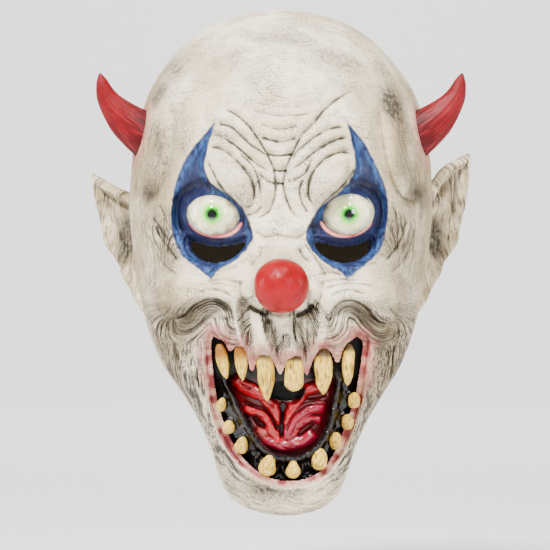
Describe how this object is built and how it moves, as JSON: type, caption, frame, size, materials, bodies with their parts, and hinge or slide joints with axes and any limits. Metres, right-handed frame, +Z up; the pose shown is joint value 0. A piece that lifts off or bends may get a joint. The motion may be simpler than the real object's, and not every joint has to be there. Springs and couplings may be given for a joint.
{
  "type": "full-head latex halloween mask",
  "caption": "Full-head latex mask of a bald grinning demon clown: curved horns, pointed ears, bulging eyes over viewing slots, ball nose, bared teeth in a stretched mouth, slit nape.",
  "frame": {"origin": "middle of the crown pad's flat underside, where the mask rests on the top of the wearer's head", "axes": "+Z up, the face looks along -Y, +X to the viewer's right"},
  "size_m": [0.2259, 0.2623, 0.293],
  "materials": {
    "skin": "matte cast latex, bone white with brown wash in the creases and blue, pink and grey airbrushing",
    "horn": "satin red latex with dark striations",
    "nose": "satin mottled red latex",
    "eye": "clear-coated white with a painted green iris and black pupil",
    "gum": "wet-look black latex",
    "tongue": "wet-look red latex",
    "tooth": "stained yellow with brown roots",
    "foam": "charcoal open-cell foam",
    "gauze": "black woven gauze"
  },
  "bodies": {
    "head": {"head_skin": "skin", "horn_left": "horn", "horn_right": "horn", "ear_left": "skin", "ear_right": "skin", "nose_ball": "nose", "eye_dome_left": "eye", "eye_dome_right": "eye", "gum_arch": "gum", "tongue_liner": "tongue", "throat_gauze": "gauze", "tooth_upper_1": "tooth", "tooth_upper_2": "tooth", "tooth_upper_3": "tooth", "tooth_upper_4": "tooth", "tooth_upper_5": "tooth", "tooth_upper_6": "tooth", "tooth_lower_1": "tooth", "tooth_lower_2": "tooth", "tooth_lower_3": "tooth", "tooth_lower_4": "tooth", "tooth_lower_5": "tooth", "tooth_lower_6": "tooth", "tooth_lower_7": "tooth", "tooth_lower_8": "tooth", "tooth_lower_9": "tooth", "crown_pad": "foam", "forehead_pad": "foam", "temple_pad_left": "foam", "temple_pad_right": "foam"},
    "flap_left": {"rear_flap_left": "skin"},
    "flap_right": {"rear_flap_right": "skin"}
  },
  "joints": [
    {"name": "flap_left_fold", "type": "hinge", "parent": "head", "child": "flap_left", "pos_m": [0, 0.114, -0.125], "axis": [0.5427, 0.4558, 0.7055], "range_deg": [0, 40], "stiffness_Nm_per_rad": 0.1},
    {"name": "flap_right_fold", "type": "hinge", "parent": "head", "child": "flap_right", "pos_m": [0, 0.114, -0.125], "axis": [0.5427, -0.4558, -0.7055], "range_deg": [0, 40], "stiffness_Nm_per_rad": 0.1}
  ]
}
